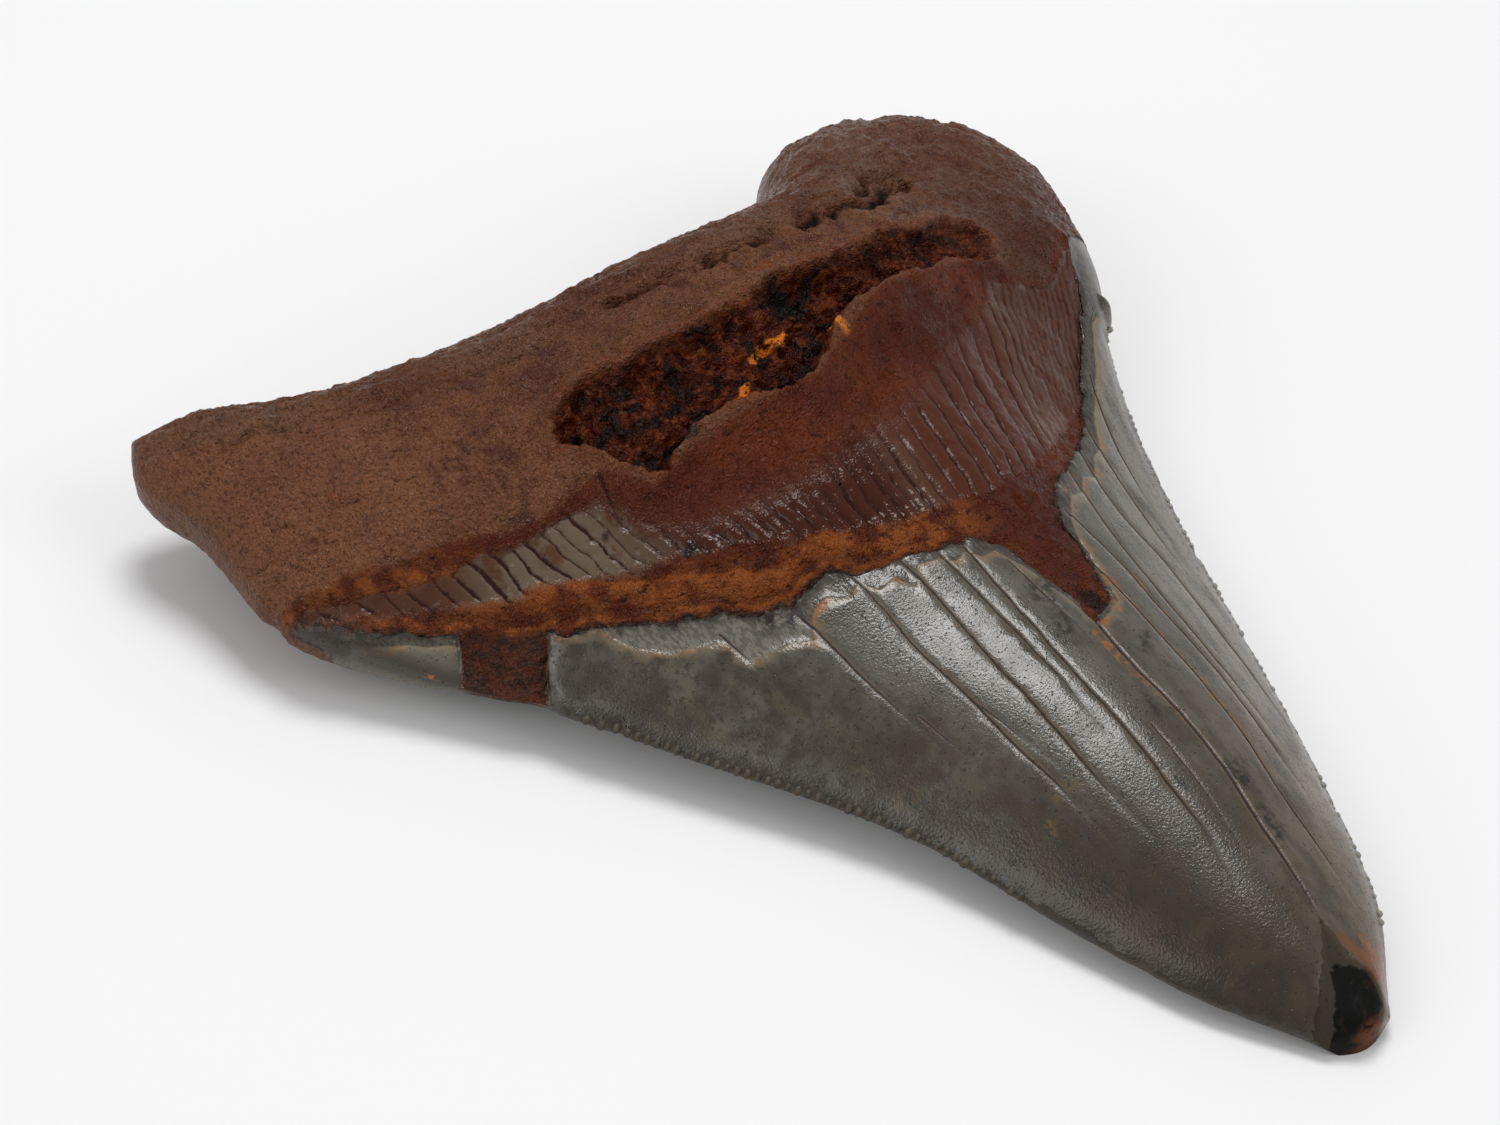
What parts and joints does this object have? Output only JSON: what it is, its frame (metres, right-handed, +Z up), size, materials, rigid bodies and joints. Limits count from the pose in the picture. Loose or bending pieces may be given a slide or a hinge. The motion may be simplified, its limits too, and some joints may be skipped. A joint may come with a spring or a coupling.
{
  "type": "megalodon tooth",
  "caption": "Fossil giant shark tooth with a broad triangular serrated blade and a thick two-lobed root, lying flat.",
  "frame": {"origin": "middle of the underside of the bounding box, on the surface that the tooth lies on", "axes": "+X across the tooth towards its wider root lobe, +Y from the tip to the root, +Z up through the thickness, out of the lingual face"},
  "size_m": [0.0914, 0.1004, 0.0223],
  "materials": {
    "tooth": "satin"
  },
  "bodies": {
    "root": {"tooth": "tooth"}
  },
  "joints": []
}
